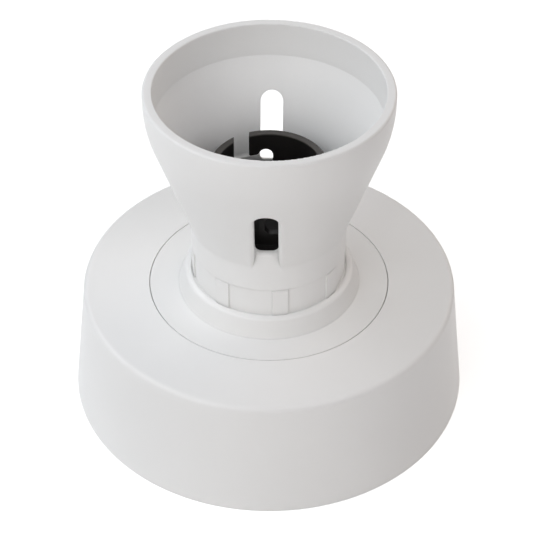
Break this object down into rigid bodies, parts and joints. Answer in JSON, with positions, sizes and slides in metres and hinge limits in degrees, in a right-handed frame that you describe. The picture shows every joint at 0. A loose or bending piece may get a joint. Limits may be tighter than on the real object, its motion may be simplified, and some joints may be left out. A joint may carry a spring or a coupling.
{
  "type": "batten lamp holder",
  "caption": "Batten lamp holder for a bayonet lamp: deep round base cover, screwed collar and flared skirt with side windows around a black slotted barrel with sprung contacts.",
  "frame": {"origin": "centre of the base's back face, which lies against the ceiling or batten", "axes": "+Z out of the base along the lamp's axis; the skirt's two windows look along -Y and +Y; the fixing slots lie along X"},
  "size_m": [0.0912, 0.0912, 0.0812],
  "materials": {
    "cover_plastic": "white moulded plastic, soft sheen",
    "skirt_plastic": "white moulded plastic, soft sheen",
    "plate_plastic": "white moulded plastic, matt",
    "black_plastic": "black moulded plastic",
    "plunger_brass": "turned brass",
    "strip_brass": "rolled brass strip",
    "terminal_brass": "drawn brass bar",
    "spring_steel": "plated spring wire",
    "zinc_steel": "zinc-plated steel"
  },
  "bodies": {
    "base": {"mounting_plate": "plate_plastic", "collar_disc": "cover_plastic", "barrel": "black_plastic", "contact_carrier": "black_plastic", "live_spring": "spring_steel", "neutral_spring": "spring_steel", "live_contact_strip": "strip_brass", "neutral_contact_strip": "strip_brass", "live_terminal": "terminal_brass", "loop_terminal": "terminal_brass", "neutral_terminal": "terminal_brass", "earth_terminal": "terminal_brass", "terminal_screws": "zinc_steel", "body_screws": "zinc_steel", "carrier_screws": "zinc_steel"},
    "cover": {"base_cover": "cover_plastic"},
    "ring": {"lock_ring": "cover_plastic"},
    "shade_skirt": {"skirt": "skirt_plastic"},
    "live_pin": {"live_plunger": "plunger_brass"},
    "neutral_pin": {"neutral_plunger": "plunger_brass"}
  },
  "joints": [
    {"name": "skirt_unscrew", "type": "hinge", "parent": "base", "child": "shade_skirt", "pos_m": [0, 0, 0.045], "axis": [0, 0, 1], "range_deg": [0, 900]},
    {"name": "lock_ring_unscrew", "type": "hinge", "parent": "base", "child": "ring", "pos_m": [0, 0, 0.035], "axis": [0, 0, 1], "range_deg": [0, 360]},
    {"name": "cover_twist", "type": "hinge", "parent": "base", "child": "cover", "pos_m": [0, 0, 0.01], "axis": [0, 0, 1], "range_deg": [0, 12]},
    {"name": "live_plunger_press", "type": "slide", "parent": "base", "child": "live_pin", "axis": [0, 0, -1], "range_m": [0, 0.0045], "stiffness_N_per_m": 1500, "springref_m": -0.002, "deforming": ["live_spring"]},
    {"name": "neutral_plunger_press", "type": "slide", "parent": "base", "child": "neutral_pin", "axis": [0, 0, -1], "range_m": [0, 0.0045], "stiffness_N_per_m": 1500, "springref_m": -0.002, "deforming": ["neutral_spring"]}
  ]
}
